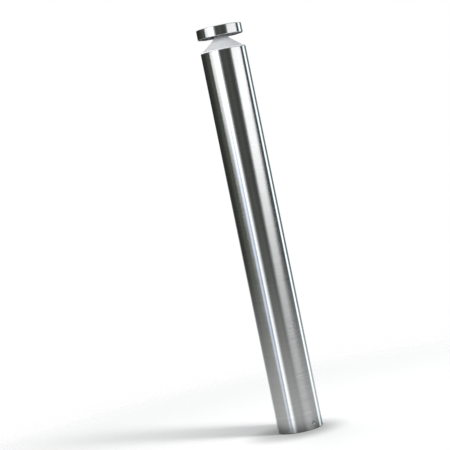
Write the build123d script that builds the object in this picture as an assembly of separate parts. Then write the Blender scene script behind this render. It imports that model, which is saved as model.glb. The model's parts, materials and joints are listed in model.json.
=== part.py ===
"""Bollard light: a stainless tube on a bolted base, a white cone reflector in its top and a flat lamp head.

Units are millimetres. The origin is the centre of the ground face, +Z runs up the post and -Y is the front.
The lamp head, the cone and the gear inside hang on the tube. The tube drops over a collar on the base plate
and lifts off it once its three locking screws are backed out.
"""

from build123d import *
from math import cos, radians, sin, tan
import os

# Driving dimensions
TOTAL_HEIGHT = 800.0
TUBE_OD = 88.9
TUBE_WALL = 1.5
CAP_HEIGHT = 19.2
LIGHT_GAP = 27.0
CONE_RIM_HEIGHT = 2.4
CONE_FOOT_RADIUS = 40.5
CONE_TOP_RADIUS = 13.8
CONE_SLOPE_DEG = 38.7
SCREW_HEIGHT = 13.3
SCREW_ANGLES = {"right": -53.0, "rear": 67.0, "left": 187.0}
ANCHOR_PLACE_R = 24.0
ANCHOR_HOLE_R = 3.25
CABLE_R = 5.5

# Radial gaps: pieces that slide, pieces glued or welded in place, and screws in their holes
SLIDING = 0.10
SNUG = 0.05
SCREW_GAP = 0.03

# Screw shank radii
M2_R = 1.0
M3_R = 1.5
M4_R = 2.0
M5_R = 2.5

# Outer tube
TUBE_R = TUBE_OD / 2
BORE_R = TUBE_R - TUBE_WALL
TUBE_FOOT_Z = 0.8
HEAD_Z = TOTAL_HEIGHT - CAP_HEIGHT
TUBE_TOP_Z = HEAD_Z - LIGHT_GAP
EDGE_R = 1.0
SCREW_HOLE_R = 2.7
SCREW_SINK_R = 3.7

# Base
GASKET_THICK = 2.0
PLATE_THICK = 5.0
PLATE_TOP_Z = GASKET_THICK + PLATE_THICK
PLATE_R = BORE_R - 0.35
COLLAR_R = 37.0
COLLAR_INNER_R = 33.5
COLLAR_TOP_Z = 30.0
ANCHOR_ANGLES = [angle + 60.0 for angle in SCREW_ANGLES.values()]
ANCHOR_PAD_R = 7.0
ANCHOR_PAD_HEIGHT = 1.5
GUSSET_THICK = 3.0
GUSSET_HEIGHT = 16.0
GUSSET_INNER_R = 17.0
GROMMET_SEAT_R = 11.0
GROMMET_FLANGE_R = 13.5
GROMMET_FLANGE_THICK = 2.0
FOOT_RING_TOP_Z = 21.0

# Locking screws, M5 by 6 with a 2.5 mm hexagon socket
LOCKING_LENGTH = 6.0
LOCKING_TIP_R = COLLAR_R + SNUG
LOCKING_SOCKET_AF = 2.5
LOCKING_SOCKET_DEPTH = 2.6

# O-rings and their grooves
O_RING_R = 0.78
O_GROOVE_WIDTH = 1.8
O_GROOVE_DEPTH = 1.5

# Reflector cone
CONE_RIM_R = TUBE_R - 0.25
CONE_FOOT_Z = TUBE_TOP_Z + CONE_RIM_HEIGHT
CONE_TAN = tan(radians(CONE_SLOPE_DEG))
CONE_TOP_Z = CONE_FOOT_Z + (CONE_FOOT_RADIUS - CONE_TOP_RADIUS) * CONE_TAN
CONE_WALL_Z = 2.8
SKIRT_R = BORE_R - 0.15
SKIRT_INNER_R = 40.0
SKIRT_LENGTH = 22.0
SKIRT_GROOVE_Z = TUBE_TOP_Z - 14.0
SPOUT_BOSS_R = 12.5
SPOUT_BOSS_Z = CONE_TOP_Z - 9.6

# Lamp head, from the carrier's lower face up
CAP_WALL = 1.5
CAP_TOP_EDGE_R = 1.3
CARRIER_Z = HEAD_Z + 0.6
CARRIER_R = TUBE_R - CAP_WALL - SLIDING
CARRIER_TOP_Z = CARRIER_Z + 7.0
CARRIER_GROOVE_Z = CARRIER_Z + 2.6
NECK_GASKET_THICK = 0.9
SPOUT_TOP_Z = CARRIER_Z - NECK_GASKET_THICK
DIFFUSER_SEAT_Z = CARRIER_Z + 2.2
DIFFUSER_SEAT_RADII = (16.0, 35.0)
DIFFUSER_SEAL_THICK = 0.5
DIFFUSER_THICK = 1.5
POCKET_Z = CARRIER_Z + 5.0
POCKET_RADII = (18.0, 33.0)
POCKET_GAP = 0.4
PAD_THICK = 0.5
BOARD_THICK = 1.6
BOARD_Z = POCKET_Z - PAD_THICK - BOARD_THICK
LED_COUNT = 18
LED_PLACE_R = 25.5
LED_SIZE = (3.0, 2.8, 0.7)
HEAD_SCREW_ANGLES = (30.0, 150.0, 270.0)
BOARD_SCREW_PLACE_R = 30.0
BOARD_HOLE_R = 1.2
CAP_SCREW_PLACE_R = 38.0
CAP_SCREW_HEAD_R = 2.85
CAP_SCREW_LENGTH = 13.5
STANDOFF_AF = 6.0
STANDOFF_TAP_DEPTH = 8.0
WIRE_HOLE_R = 2.2
WIRE_HOLE_Y = 21.0

# Centre stem, M16 by 1, with its nuts and the bridge inside the tube
STEM_R = 8.0
STEM_BORE_R = 5.0
STEM_HOLE_R = STEM_R + 0.2
STEM_FOOT_Z = 711.0
STEM_TOP_Z = CARRIER_TOP_Z + 5.1
BRIDGE_Z = 722.0
BRIDGE_THICK = 2.5
BRIDGE_WIDTH = 30.0
BRIDGE_LEG = 22.0
WASHER_R = 13.0
WASHER_THICK = 1.5
NUT_AF = 24.0
NUT_HEIGHT = 5.0
TOP_NUT_AF = 22.0
TOP_NUT_HEIGHT = 4.0
BUSH_BORE_R = 4.0
BUSH_LIP = 2.5
BUSH_DEPTH = 6.0

# Gear tray; its web is the upright sheet behind the driver and the terminals
TRAY_THICK = 1.5
TRAY_WIDTH = 44.0
TRAY_FOOT_Z = 545.0
TRAY_REACH_Y = -14.0
WEB_Y = 17.0
NUT_SEAT_Z = BRIDGE_Z - TRAY_THICK - WASHER_THICK

# Gear on the tray
DRIVER_SIZE = (38.0, 24.0, 84.0)
DRIVER_Z = 604.0
DRIVER_EAR = (14.0, 2.5, 8.0)
TERMINAL_SIZE = (31.0, 17.0, 18.0)
TERMINAL_Z = 572.0
TERMINAL_PITCH = 10.0
TERMINAL_ENTRY_Y = WEB_Y - 8.5
TERMINAL_FIXING_DEPTH = 5.0
BRASS_RADII = (2.5, 1.6)
BRASS_INSET = 1.0
CLAMP_SIZE = (32.0, 9.0, 10.0)
CLAMP_Z = 552.0
CLAMP_SCREW_X = 11.5
EARTH_X = 17.5
EARTH_Z = 597.0
TAG_THICK = 0.8
TAG_R = 4.0
TAG_TONGUE = (6.5, 2.4)

# Leads
LED_LEAD_R = 0.7
MAINS_LEAD_R = 1.0
LEAD_DEPTH = 7.0

BOTTOM = (Align.CENTER, Align.CENTER, Align.MIN)
TOP = (Align.CENTER, Align.CENTER, Align.MAX)
WEB_SIDE = (Align.CENTER, Align.MAX, Align.MIN)


def disc(radius, low, high):
    """A round bar on the Z axis between two heights."""
    return Pos(0, 0, low) * Cylinder(radius, high - low, align=BOTTOM)


def ring(outer, inner, low, high):
    """A plain ring on the Z axis between two heights."""
    return disc(outer, low, high) - disc(inner, low, high)


def hexagon(across_flats, low, high):
    """A hexagonal bar on the Z axis between two heights."""
    face = RegularPolygon(across_flats / 2, 6, major_radius=False)
    return Pos(0, 0, low) * extrude(face, high - low)


def rounded(outline, corners):
    """An outline with some of its corners rounded, each given as ((x, y), radius)."""
    for corner, radius in corners:
        vertex = outline.vertices().sort_by_distance(corner)[0]
        outline = fillet(vertex, radius)
    return outline


def lathe(points, corners=()):
    """Turns an outline of (radius, height) points about the Z axis."""
    outline = rounded(make_face(Polyline(*points, close=True)), corners)
    return revolve(Plane.XZ * outline, Axis.Z)


def around(radius, angles):
    """The (x, y) places at a radius and several angles."""
    return [(radius * cos(radians(angle)), radius * sin(radians(angle))) for angle in angles]


def radial(shape, angle, radius, height):
    """Places a shape modelled along +Z so that its +Z points out of the post at an angle."""
    return Rot(0, 0, angle) * Pos(radius, 0, height) * Rot(0, 90, 0) * shape


def upright_holes(shape, radius, places, low, high):
    """Cuts the same upright round hole at several (x, y) places."""
    for x, y in places:
        shape -= Pos(x, y, 0) * disc(radius, low, high)
    return shape


def web_holes(shape, radius, places):
    """Cuts round holes at several (x, z) places through the web or a piece that lies on it."""
    for x, z in places:
        shape -= Pos(x, WEB_Y, z) * Rot(90, 0, 0) * Cylinder(radius, TUBE_OD)
    return shape


def web_box(size, low):
    """A block on the front of the web, its lower end at a height."""
    return Pos(0, WEB_Y, low) * Box(*size, align=WEB_SIDE)


def wire(points, radius, bend):
    """A round lead swept along straight runs joined by bends."""
    path = FilletPolyline(*points, radius=bend)
    start = Plane(origin=path @ 0, z_dir=path % 0)
    return sweep(start * Circle(radius), path=path)


# Base


def base_plate():
    """Die-cast plate with the collar that the tube drops over, three anchor holes and three gussets."""
    seat_r = GROMMET_SEAT_R + SCREW_GAP
    plate = lathe(
        [
            (seat_r, GASKET_THICK),
            (PLATE_R, GASKET_THICK),
            (PLATE_R, PLATE_TOP_Z),
            (COLLAR_R, PLATE_TOP_Z),
            (COLLAR_R, COLLAR_TOP_Z),
            (COLLAR_INNER_R, COLLAR_TOP_Z),
            (COLLAR_INNER_R, PLATE_TOP_Z),
            (seat_r, PLATE_TOP_Z),
        ],
        [
            ((PLATE_R, PLATE_TOP_Z), 0.6),
            ((COLLAR_R, COLLAR_TOP_Z), 1.4),
            ((COLLAR_INNER_R, COLLAR_TOP_Z), 0.8),
            ((COLLAR_INNER_R, PLATE_TOP_Z), 2.0),
        ],
    )
    sunk_z = PLATE_TOP_Z - 1.0
    gusset = make_face(
        Polyline(
            (GUSSET_INNER_R, sunk_z),
            (COLLAR_INNER_R + 1.0, sunk_z),
            (COLLAR_INNER_R + 1.0, PLATE_TOP_Z + GUSSET_HEIGHT),
            (COLLAR_INNER_R - 1.5, PLATE_TOP_Z + GUSSET_HEIGHT),
            (GUSSET_INNER_R, PLATE_TOP_Z + 1.0),
            close=True,
        )
    )
    gusset = extrude(Plane.XZ * gusset, GUSSET_THICK / 2, both=True)
    for angle in SCREW_ANGLES.values():
        plate += Rot(0, 0, angle) * gusset
    places = around(ANCHOR_PLACE_R, ANCHOR_ANGLES)
    for x, y in places:
        plate += Pos(x, y, 0) * disc(ANCHOR_PAD_R, sunk_z, PLATE_TOP_Z + ANCHOR_PAD_HEIGHT)
    return upright_holes(plate, ANCHOR_HOLE_R, places, 0, COLLAR_TOP_Z)


def ground_gasket():
    """Flat foam rubber seal between the plate and the ground."""
    flange_gap = 0.5
    seal = ring(PLATE_R, GROMMET_FLANGE_R + flange_gap, 0, GASKET_THICK)
    places = around(ANCHOR_PLACE_R, ANCHOR_ANGLES)
    return upright_holes(seal, ANCHOR_HOLE_R, places, 0, GASKET_THICK)


def cable_grommet():
    """Rubber grommet in the plate's centre hole, where the supply cable comes up."""
    low = GASKET_THICK - 1.6
    high = PLATE_TOP_Z + GROMMET_FLANGE_THICK
    return lathe(
        [
            (CABLE_R, low),
            (GROMMET_FLANGE_R, low),
            (GROMMET_FLANGE_R, GASKET_THICK),
            (GROMMET_SEAT_R, GASKET_THICK),
            (GROMMET_SEAT_R, PLATE_TOP_Z),
            (GROMMET_FLANGE_R, PLATE_TOP_Z),
            (GROMMET_FLANGE_R, high),
            (CABLE_R, high),
        ],
        [((GROMMET_FLANGE_R, high), 1.0)],
    )


# Tube and what is fixed at its foot


def post_tube():
    """Satin stainless tube with a softened top edge and three countersunk screw holes near its foot."""
    tube = lathe(
        [
            (BORE_R, TUBE_FOOT_Z),
            (TUBE_R, TUBE_FOOT_Z),
            (TUBE_R, TUBE_TOP_Z),
            (BORE_R, TUBE_TOP_Z),
        ],
        [((TUBE_R, TUBE_TOP_Z), EDGE_R), ((TUBE_R, TUBE_FOOT_Z), 0.3)],
    )
    sink_depth = SCREW_SINK_R - SCREW_HOLE_R
    outside = 1.0
    sink = Cone(SCREW_HOLE_R, SCREW_SINK_R + outside, sink_depth + outside, align=BOTTOM)
    cutter = disc(SCREW_HOLE_R, -3 * TUBE_WALL, outside) + Pos(0, 0, -sink_depth) * sink
    for angle in SCREW_ANGLES.values():
        tube -= radial(cutter, angle, TUBE_R, SCREW_HEIGHT)
    return tube


def foot_ring():
    """Aluminium ring bonded inside the tube's foot. It carries the locking screws and stands on the plate."""
    inner = COLLAR_R + SLIDING
    outer = BORE_R - SNUG
    body = lathe(
        [
            (inner, PLATE_TOP_Z),
            (outer, PLATE_TOP_Z),
            (outer, FOOT_RING_TOP_Z),
            (inner, FOOT_RING_TOP_Z),
        ],
        [((inner, PLATE_TOP_Z), 1.5), ((inner, FOOT_RING_TOP_Z), 0.6)],
    )
    hole = Cylinder(M5_R + SCREW_GAP, 4 * (outer - inner))
    for angle in SCREW_ANGLES.values():
        body -= radial(hole, angle, outer, SCREW_HEIGHT)
    return body


def locking_screw(angle):
    """Hexagon socket set screw that presses on the base's collar."""
    body = chamfer(Cylinder(M5_R, LOCKING_LENGTH, align=BOTTOM).edges().filter_by(GeomType.CIRCLE), 0.4)
    body -= hexagon(LOCKING_SOCKET_AF, LOCKING_LENGTH - LOCKING_SOCKET_DEPTH, LOCKING_LENGTH + 1.0)
    return radial(body, angle, LOCKING_TIP_R, SCREW_HEIGHT)


# Reflector


def reflector_cone():
    """White die-cast cone with a rim on the tube, a skirt inside it and a spout under the head."""
    skirt_foot_z = TUBE_TOP_Z - SKIRT_LENGTH
    groove_r = SKIRT_R - O_GROOVE_DEPTH
    groove_top_z = SKIRT_GROOVE_Z + O_GROOVE_WIDTH
    stem_clear_r = STEM_R + 0.15
    boss_top_z = CONE_TOP_Z + (CONE_TOP_RADIUS - SPOUT_BOSS_R) * CONE_TAN - CONE_WALL_Z
    inner_foot_z = CONE_FOOT_Z + (CONE_FOOT_RADIUS - SKIRT_INNER_R) * CONE_TAN - CONE_WALL_Z
    return lathe(
        [
            (SKIRT_INNER_R, skirt_foot_z),
            (SKIRT_R, skirt_foot_z),
            (SKIRT_R, SKIRT_GROOVE_Z),
            (groove_r, SKIRT_GROOVE_Z),
            (groove_r, groove_top_z),
            (SKIRT_R, groove_top_z),
            (SKIRT_R, TUBE_TOP_Z),
            (CONE_RIM_R, TUBE_TOP_Z),
            (CONE_RIM_R, CONE_FOOT_Z),
            (CONE_FOOT_RADIUS, CONE_FOOT_Z),
            (CONE_TOP_RADIUS, CONE_TOP_Z),
            (CONE_TOP_RADIUS, SPOUT_TOP_Z),
            (stem_clear_r, SPOUT_TOP_Z),
            (stem_clear_r, SPOUT_BOSS_Z),
            (SPOUT_BOSS_R, SPOUT_BOSS_Z),
            (SPOUT_BOSS_R, boss_top_z),
            (SKIRT_INNER_R, inner_foot_z),
        ],
        [
            ((CONE_RIM_R, CONE_FOOT_Z), 1.0),
            ((CONE_FOOT_RADIUS, CONE_FOOT_Z), 1.2),
            ((CONE_TOP_RADIUS, CONE_TOP_Z), 2.0),
            ((SKIRT_R, skirt_foot_z), 1.0),
        ],
    )


def o_ring(bore_r, groove_z):
    """A rubber ring in a groove, its outer side just inside a bore."""
    return Pos(0, 0, groove_z + O_GROOVE_WIDTH / 2) * Torus(bore_r - SNUG / 2 - O_RING_R, O_RING_R)


def cone_o_ring():
    """Seals the cone's skirt to the tube."""
    return o_ring(BORE_R, SKIRT_GROOVE_Z)


def neck_gasket():
    """Flat silicone washer between the cone's spout and the lamp head."""
    return ring(CONE_TOP_RADIUS - 0.3, STEM_R + 1.0, SPOUT_TOP_Z, CARRIER_Z)


# Lamp head


def cap_shell():
    """Deep-drawn stainless cap, open underneath."""
    inner = TUBE_R - CAP_WALL
    inner_top_z = TOTAL_HEIGHT - CAP_WALL
    return lathe(
        [
            (0, inner_top_z),
            (inner, inner_top_z),
            (inner, HEAD_Z),
            (TUBE_R, HEAD_Z),
            (TUBE_R, TOTAL_HEIGHT),
            (0, TOTAL_HEIGHT),
        ],
        [
            ((TUBE_R, HEAD_Z), EDGE_R),
            ((TUBE_R, TOTAL_HEIGHT), CAP_TOP_EDGE_R),
            ((inner, inner_top_z), 0.4),
        ],
    )


def lamp_carrier():
    """Black die-cast disc that closes the cap. It holds the LED ring in a pocket and screws onto the stem."""
    bore = STEM_R + SCREW_GAP
    groove_r = CARRIER_R - O_GROOVE_DEPTH
    groove_top_z = CARRIER_GROOVE_Z + O_GROOVE_WIDTH
    seat_in, seat_out = DIFFUSER_SEAT_RADII
    pocket_in, pocket_out = POCKET_RADII
    body = lathe(
        [
            (bore, CARRIER_Z),
            (seat_in, CARRIER_Z),
            (seat_in, DIFFUSER_SEAT_Z),
            (pocket_in, DIFFUSER_SEAT_Z),
            (pocket_in, POCKET_Z),
            (pocket_out, POCKET_Z),
            (pocket_out, DIFFUSER_SEAT_Z),
            (seat_out, DIFFUSER_SEAT_Z),
            (seat_out, CARRIER_Z),
            (CARRIER_R, CARRIER_Z),
            (CARRIER_R, CARRIER_GROOVE_Z),
            (groove_r, CARRIER_GROOVE_Z),
            (groove_r, groove_top_z),
            (CARRIER_R, groove_top_z),
            (CARRIER_R, CARRIER_TOP_Z),
            (bore, CARRIER_TOP_Z),
        ],
        [((CARRIER_R, CARRIER_Z), 0.4), ((CARRIER_R, CARRIER_TOP_Z), 0.8)],
    )
    low, high = CARRIER_Z - 1.0, CARRIER_TOP_Z + 1.0
    board_places = around(BOARD_SCREW_PLACE_R, HEAD_SCREW_ANGLES)
    cap_places = around(CAP_SCREW_PLACE_R, HEAD_SCREW_ANGLES)
    body = upright_holes(body, M2_R + SCREW_GAP, board_places, low, high)
    body = upright_holes(body, WIRE_HOLE_R, [(0, WIRE_HOLE_Y)], low, high)
    body = upright_holes(body, M3_R + SLIDING, cap_places, low, high)
    sink_r = CAP_SCREW_HEAD_R + SLIDING
    sink = Cone(sink_r, M3_R + SLIDING, CAP_SCREW_HEAD_R - M3_R, align=BOTTOM)
    for x, y in cap_places:
        body -= Pos(x, y, CARRIER_Z) * sink
    return body


def cap_o_ring():
    """Seals the carrier to the cap."""
    return o_ring(TUBE_R - CAP_WALL, CARRIER_GROOVE_Z)


def cap_standoffs():
    """Three hexagonal posts welded under the cap's top."""
    post = hexagon(STANDOFF_AF, CARRIER_TOP_Z, TOTAL_HEIGHT - CAP_WALL)
    post -= disc(M3_R + SCREW_GAP, CARRIER_TOP_Z, CARRIER_TOP_Z + STANDOFF_TAP_DEPTH)
    return Compound([Pos(x, y, 0) * post for x, y in around(CAP_SCREW_PLACE_R, HEAD_SCREW_ANGLES)])


def cap_screws():
    """Three M3 countersunk screws, put in from below, that hold the carrier in the cap."""
    socket_af = 2.0
    socket_depth = 1.0
    screw = Cone(CAP_SCREW_HEAD_R, M3_R, CAP_SCREW_HEAD_R - M3_R, align=BOTTOM)
    screw += Cylinder(M3_R, CAP_SCREW_LENGTH, align=BOTTOM)
    screw -= hexagon(socket_af, -socket_depth, socket_depth)
    places = around(CAP_SCREW_PLACE_R, HEAD_SCREW_ANGLES)
    return Compound([Pos(x, y, CARRIER_Z) * screw for x, y in places])


def board_blank(low, high):
    """The outline shared by the LED board and its heat pad, with their screw holes."""
    pocket_in, pocket_out = POCKET_RADII
    blank = ring(pocket_out - POCKET_GAP, pocket_in + POCKET_GAP, low, high)
    return upright_holes(blank, BOARD_HOLE_R, around(BOARD_SCREW_PLACE_R, HEAD_SCREW_ANGLES), low, high)


def thermal_pad():
    """Grey silicone pad between the LED board and the carrier."""
    low = POCKET_Z - PAD_THICK
    return upright_holes(board_blank(low, POCKET_Z), WIRE_HOLE_R, [(0, WIRE_HOLE_Y)], low, POCKET_Z)


def led_board():
    """Ring-shaped aluminium circuit board that faces down."""
    return board_blank(BOARD_Z, BOARD_Z + BOARD_THICK)


def led_chips():
    """The LEDs, soldered to the underside of the board."""
    chip = Pos(LED_PLACE_R, 0, BOARD_Z) * Box(*LED_SIZE, align=TOP)
    step = 360.0 / LED_COUNT
    return Compound([Rot(0, 0, (i + 0.5) * step) * chip for i in range(LED_COUNT)])


def board_screws():
    """Three M2 screws that hold the LED board."""
    head_r = 1.9
    head_height = 0.8
    slot_width = 0.5
    screw = Cylinder(head_r, head_height, align=TOP)
    screw += Cylinder(M2_R, BOARD_THICK + PAD_THICK + 1.8, align=BOTTOM)
    screw -= Pos(0, 0, -head_height) * Box(3 * head_r, slot_width, head_height)
    places = around(BOARD_SCREW_PLACE_R, HEAD_SCREW_ANGLES)
    return Compound([Pos(x, y, BOARD_Z) * screw for x, y in places])


def diffuser_ring():
    """Clear polycarbonate ring under the LEDs."""
    seat_in, seat_out = DIFFUSER_SEAT_RADII
    inner, outer = seat_in + 0.2, seat_out - 0.2
    high = DIFFUSER_SEAT_Z - DIFFUSER_SEAL_THICK
    low = high - DIFFUSER_THICK
    return lathe(
        [(inner, low), (outer, low), (outer, high), (inner, high)],
        [((inner, low), 0.3), ((outer, low), 0.3)],
    )


def diffuser_seals():
    """Two flat silicone rings that bed the diffuser on the carrier."""
    seat_in, seat_out = DIFFUSER_SEAT_RADII
    pocket_in, pocket_out = POCKET_RADII
    low = DIFFUSER_SEAT_Z - DIFFUSER_SEAL_THICK
    inner = ring(pocket_in - 0.2, seat_in + 0.4, low, DIFFUSER_SEAT_Z)
    outer = ring(seat_out - 0.4, pocket_out + 0.2, low, DIFFUSER_SEAT_Z)
    return Compound([inner, outer])


# Centre stem and what it clamps


def tube_bridge():
    """Steel strap spot-welded across the tube's bore. The stem pulls the head down against it."""
    outer = BORE_R - SNUG
    top_z = BRIDGE_Z + BRIDGE_THICK
    cup = disc(outer, BRIDGE_Z - BRIDGE_LEG, top_z)
    cup -= disc(outer - BRIDGE_THICK, BRIDGE_Z - BRIDGE_LEG, BRIDGE_Z)
    strap = Pos(0, 0, BRIDGE_Z) * Box(TUBE_OD, BRIDGE_WIDTH, 3 * BRIDGE_LEG)
    return (cup & strap) - disc(STEM_HOLE_R, BRIDGE_Z, top_z)


def centre_stem():
    """Hollow threaded stem that ties the head and the cone to the bridge and carries the LED leads."""
    stem = ring(STEM_R, STEM_BORE_R, STEM_FOOT_Z, STEM_TOP_Z)
    outer_rims = stem.edges().filter_by(GeomType.CIRCLE).sort_by(SortBy.RADIUS)[-2:]
    return chamfer(outer_rims, 0.5)


def nut(across_flats, low, high):
    """A thin nut for the stem with chamfered corners."""
    corner_r = across_flats / 2 * 1.12
    blank = disc(corner_r, low, high)
    blank = chamfer(blank.edges().filter_by(GeomType.CIRCLE), 0.8)
    return (hexagon(across_flats, low, high) & blank) - disc(STEM_R + SCREW_GAP, low, high)


def stem_top_nut():
    """Locks the stem in the carrier."""
    return nut(TOP_NUT_AF, CARRIER_TOP_Z, CARRIER_TOP_Z + TOP_NUT_HEIGHT)


def stem_washer():
    """Spring washer between the lower nut and the tray, split at one side."""
    washer = ring(WASHER_R, STEM_HOLE_R, NUT_SEAT_Z, NUT_SEAT_Z + WASHER_THICK)
    return washer - Pos(STEM_HOLE_R, 0, NUT_SEAT_Z) * Box(4 * WASHER_THICK, 1.0, 4 * WASHER_THICK)


def stem_lock_nut():
    """Pulls the stem, the head and the cone down onto the tube."""
    return nut(NUT_AF, NUT_SEAT_Z - NUT_HEIGHT, NUT_SEAT_Z)


def stem_bush():
    """Plastic bush that keeps the leads off the stem's lower edge."""
    seat = STEM_BORE_R - SCREW_GAP
    low = STEM_FOOT_Z - BUSH_LIP
    high = STEM_FOOT_Z + BUSH_DEPTH
    return lathe(
        [
            (BUSH_BORE_R, low),
            (STEM_R, low),
            (STEM_R, STEM_FOOT_Z),
            (seat, STEM_FOOT_Z),
            (seat, high),
            (BUSH_BORE_R, high),
        ],
        [((STEM_R, low), 1.0), ((BUSH_BORE_R, low), 1.0)],
    )


# Gear tray and its load


def driver_screw_places():
    """The two places where the driver's ears are screwed to the web."""
    half_ear = DRIVER_EAR[2] / 2
    return [(0.0, DRIVER_Z - half_ear), (0.0, DRIVER_Z + DRIVER_SIZE[2] + half_ear)]


def terminal_fixing_place():
    """The place of the terminal block's fixing screw, between two poles."""
    return [(TERMINAL_PITCH / 2, TERMINAL_Z + TERMINAL_SIZE[2] / 2)]


def clamp_screw_places():
    """The two places of the cable clamp's screws."""
    middle_z = CLAMP_Z + CLAMP_SIZE[2] / 2
    return [(-CLAMP_SCREW_X, middle_z), (CLAMP_SCREW_X, middle_z)]


def gear_tray():
    """Bent steel sheet that hangs from the stem under the bridge and carries the gear."""
    back_y = WEB_Y + TRAY_THICK
    flange_z = BRIDGE_Z - TRAY_THICK
    outline = make_face(
        Polyline(
            (TRAY_REACH_Y, flange_z),
            (WEB_Y, flange_z),
            (WEB_Y, TRAY_FOOT_Z),
            (back_y, TRAY_FOOT_Z),
            (back_y, BRIDGE_Z),
            (TRAY_REACH_Y, BRIDGE_Z),
            close=True,
        )
    )
    outline = rounded(outline, [((WEB_Y, flange_z), 1.0), ((back_y, BRIDGE_Z), 2.5)])
    tray = extrude(Plane.YZ * outline, TRAY_WIDTH / 2, both=True)
    tray -= disc(STEM_HOLE_R, flange_z, BRIDGE_Z)
    m3_places = driver_screw_places() + terminal_fixing_place() + clamp_screw_places()
    tray = web_holes(tray, M3_R + SCREW_GAP, m3_places)
    return web_holes(tray, M4_R + SCREW_GAP, [(EARTH_X, EARTH_Z)])


def pan_screws(places, stand, shank_r=M3_R, head_r=2.7):
    """Cross-slotted screws driven into the web; stand is how far each head sits in front of it."""
    head_height = 2.0
    slot_width = 0.7
    slot_depth = 1.0
    head = Cylinder(head_r, head_height, align=BOTTOM)
    head = fillet(head.edges().filter_by(GeomType.CIRCLE).sort_by(Axis.Z)[-1], 0.8)
    slot = Box(head_r, slot_width, 2 * slot_depth) + Box(slot_width, head_r, 2 * slot_depth)
    head -= Pos(0, 0, head_height) * slot
    shank = Cylinder(shank_r, stand + 2 * TRAY_THICK, align=TOP)
    screw = Rot(90, 0, 0) * (head + shank)
    return Compound([Pos(x, WEB_Y - stand, z) * screw for x, z in places])


def led_driver():
    """Potted LED driver with a fixing ear at each end."""
    ear_width, ear_thick, ear_height = DRIVER_EAR
    body = web_box(DRIVER_SIZE, DRIVER_Z)
    body = fillet(body.edges().filter_by(Axis.Z).sort_by(Axis.Y)[:2], 3.0)
    ears = (ear_width, ear_thick, DRIVER_SIZE[2] + 2 * ear_height)
    body += web_box(ears, DRIVER_Z - ear_height)
    return web_holes(body, M3_R + 0.2, driver_screw_places())


def driver_screws():
    """Hold the driver's ears to the web."""
    return pan_screws(driver_screw_places(), DRIVER_EAR[1])


def terminal_poles():
    """The x of each pole of the terminal block."""
    return (-TERMINAL_PITCH, 0.0, TERMINAL_PITCH)


def terminal_screw_heights():
    """The two heights of each pole's clamping screws."""
    quarter = TERMINAL_SIZE[2] / 4
    return (TERMINAL_Z + quarter, TERMINAL_Z + 3 * quarter)


def terminal_block():
    """Three-pole screw terminal block."""
    width, depth, height = TERMINAL_SIZE
    front_y = WEB_Y - depth
    entry_r = BRASS_RADII[0] + SLIDING
    screw_hole_r = 2.3
    notch = Box(1.2, 3.0, height, align=(Align.CENTER, Align.MIN, Align.MIN))
    body = web_box(TERMINAL_SIZE, TERMINAL_Z)
    for x in (-TERMINAL_PITCH / 2, TERMINAL_PITCH / 2):
        body -= Pos(x, front_y, TERMINAL_Z) * notch
    for x in terminal_poles():
        body -= Pos(x, TERMINAL_ENTRY_Y, TERMINAL_Z) * Cylinder(entry_r, height, align=BOTTOM)
        for z in terminal_screw_heights():
            shaft = Cylinder(screw_hole_r, TERMINAL_ENTRY_Y - front_y, align=BOTTOM)
            body -= Pos(x, TERMINAL_ENTRY_Y, z) * Rot(90, 0, 0) * shaft
    body = web_holes(body, M3_R + SLIDING, terminal_fixing_place())
    recess = Cylinder(2.9, depth - TERMINAL_FIXING_DEPTH, align=BOTTOM)
    for x, z in terminal_fixing_place():
        body -= Pos(x, WEB_Y - TERMINAL_FIXING_DEPTH, z) * Rot(90, 0, 0) * recess
    return body


def terminal_tubes():
    """Brass tubes inside the terminal block, one to a pole."""
    outer, inner = BRASS_RADII
    low, high = TERMINAL_Z + BRASS_INSET, TERMINAL_Z + TERMINAL_SIZE[2] - BRASS_INSET
    tube = ring(outer, inner, low, high)
    tap = Cylinder(M3_R - 0.2, 2 * outer, align=BOTTOM)
    for z in terminal_screw_heights():
        tube -= Pos(0, 0, z) * Rot(90, 0, 0) * tap
    return Compound([Pos(x, TERMINAL_ENTRY_Y, 0) * tube for x in terminal_poles()])


def terminal_clamp_screws():
    """Slotted screws that clamp the conductors."""
    tip = 1.1
    shank_length = 3.4
    head_r = 2.0
    head_height = 2.0
    slot = Box(3 * head_r, 0.6, 1.2)
    screw = Cylinder(M3_R - 0.25, shank_length, align=BOTTOM)
    screw += disc(head_r, shank_length, shank_length + head_height)
    screw -= Pos(0, 0, shank_length + head_height) * slot
    screw = Rot(90, 0, 0) * screw
    places = [(x, z) for x in terminal_poles() for z in terminal_screw_heights()]
    return Compound([Pos(x, TERMINAL_ENTRY_Y - tip, z) * screw for x, z in places])


def terminal_fixing_screw():
    """Holds the terminal block to the web."""
    return pan_screws(terminal_fixing_place(), TERMINAL_FIXING_DEPTH)


def cable_clamp():
    """Strain relief saddle for the supply cable."""
    body = web_box(CLAMP_SIZE, CLAMP_Z)
    body = fillet(body.edges().filter_by(Axis.Z).sort_by(Axis.Y)[:2], 3.0)
    body -= Pos(0, WEB_Y, CLAMP_Z) * Cylinder(CABLE_R, CLAMP_SIZE[2], align=BOTTOM)
    return web_holes(body, M3_R + SLIDING, clamp_screw_places())


def cable_clamp_screws():
    """Hold the cable clamp to the web."""
    return pan_screws(clamp_screw_places(), CLAMP_SIZE[1])


def earth_tag():
    """Ring tongue under the earth screw."""
    length, width = TAG_TONGUE
    flat = Cylinder(TAG_R, TAG_THICK, align=BOTTOM)
    flat += Pos(-(TAG_R + length) / 2 - 0.75, 0, 0) * Box(length, width, TAG_THICK, align=BOTTOM)
    flat -= Cylinder(M4_R + SCREW_GAP, 4 * TAG_THICK)
    return Pos(EARTH_X, WEB_Y, EARTH_Z) * Rot(90, 0, 0) * flat


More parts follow.
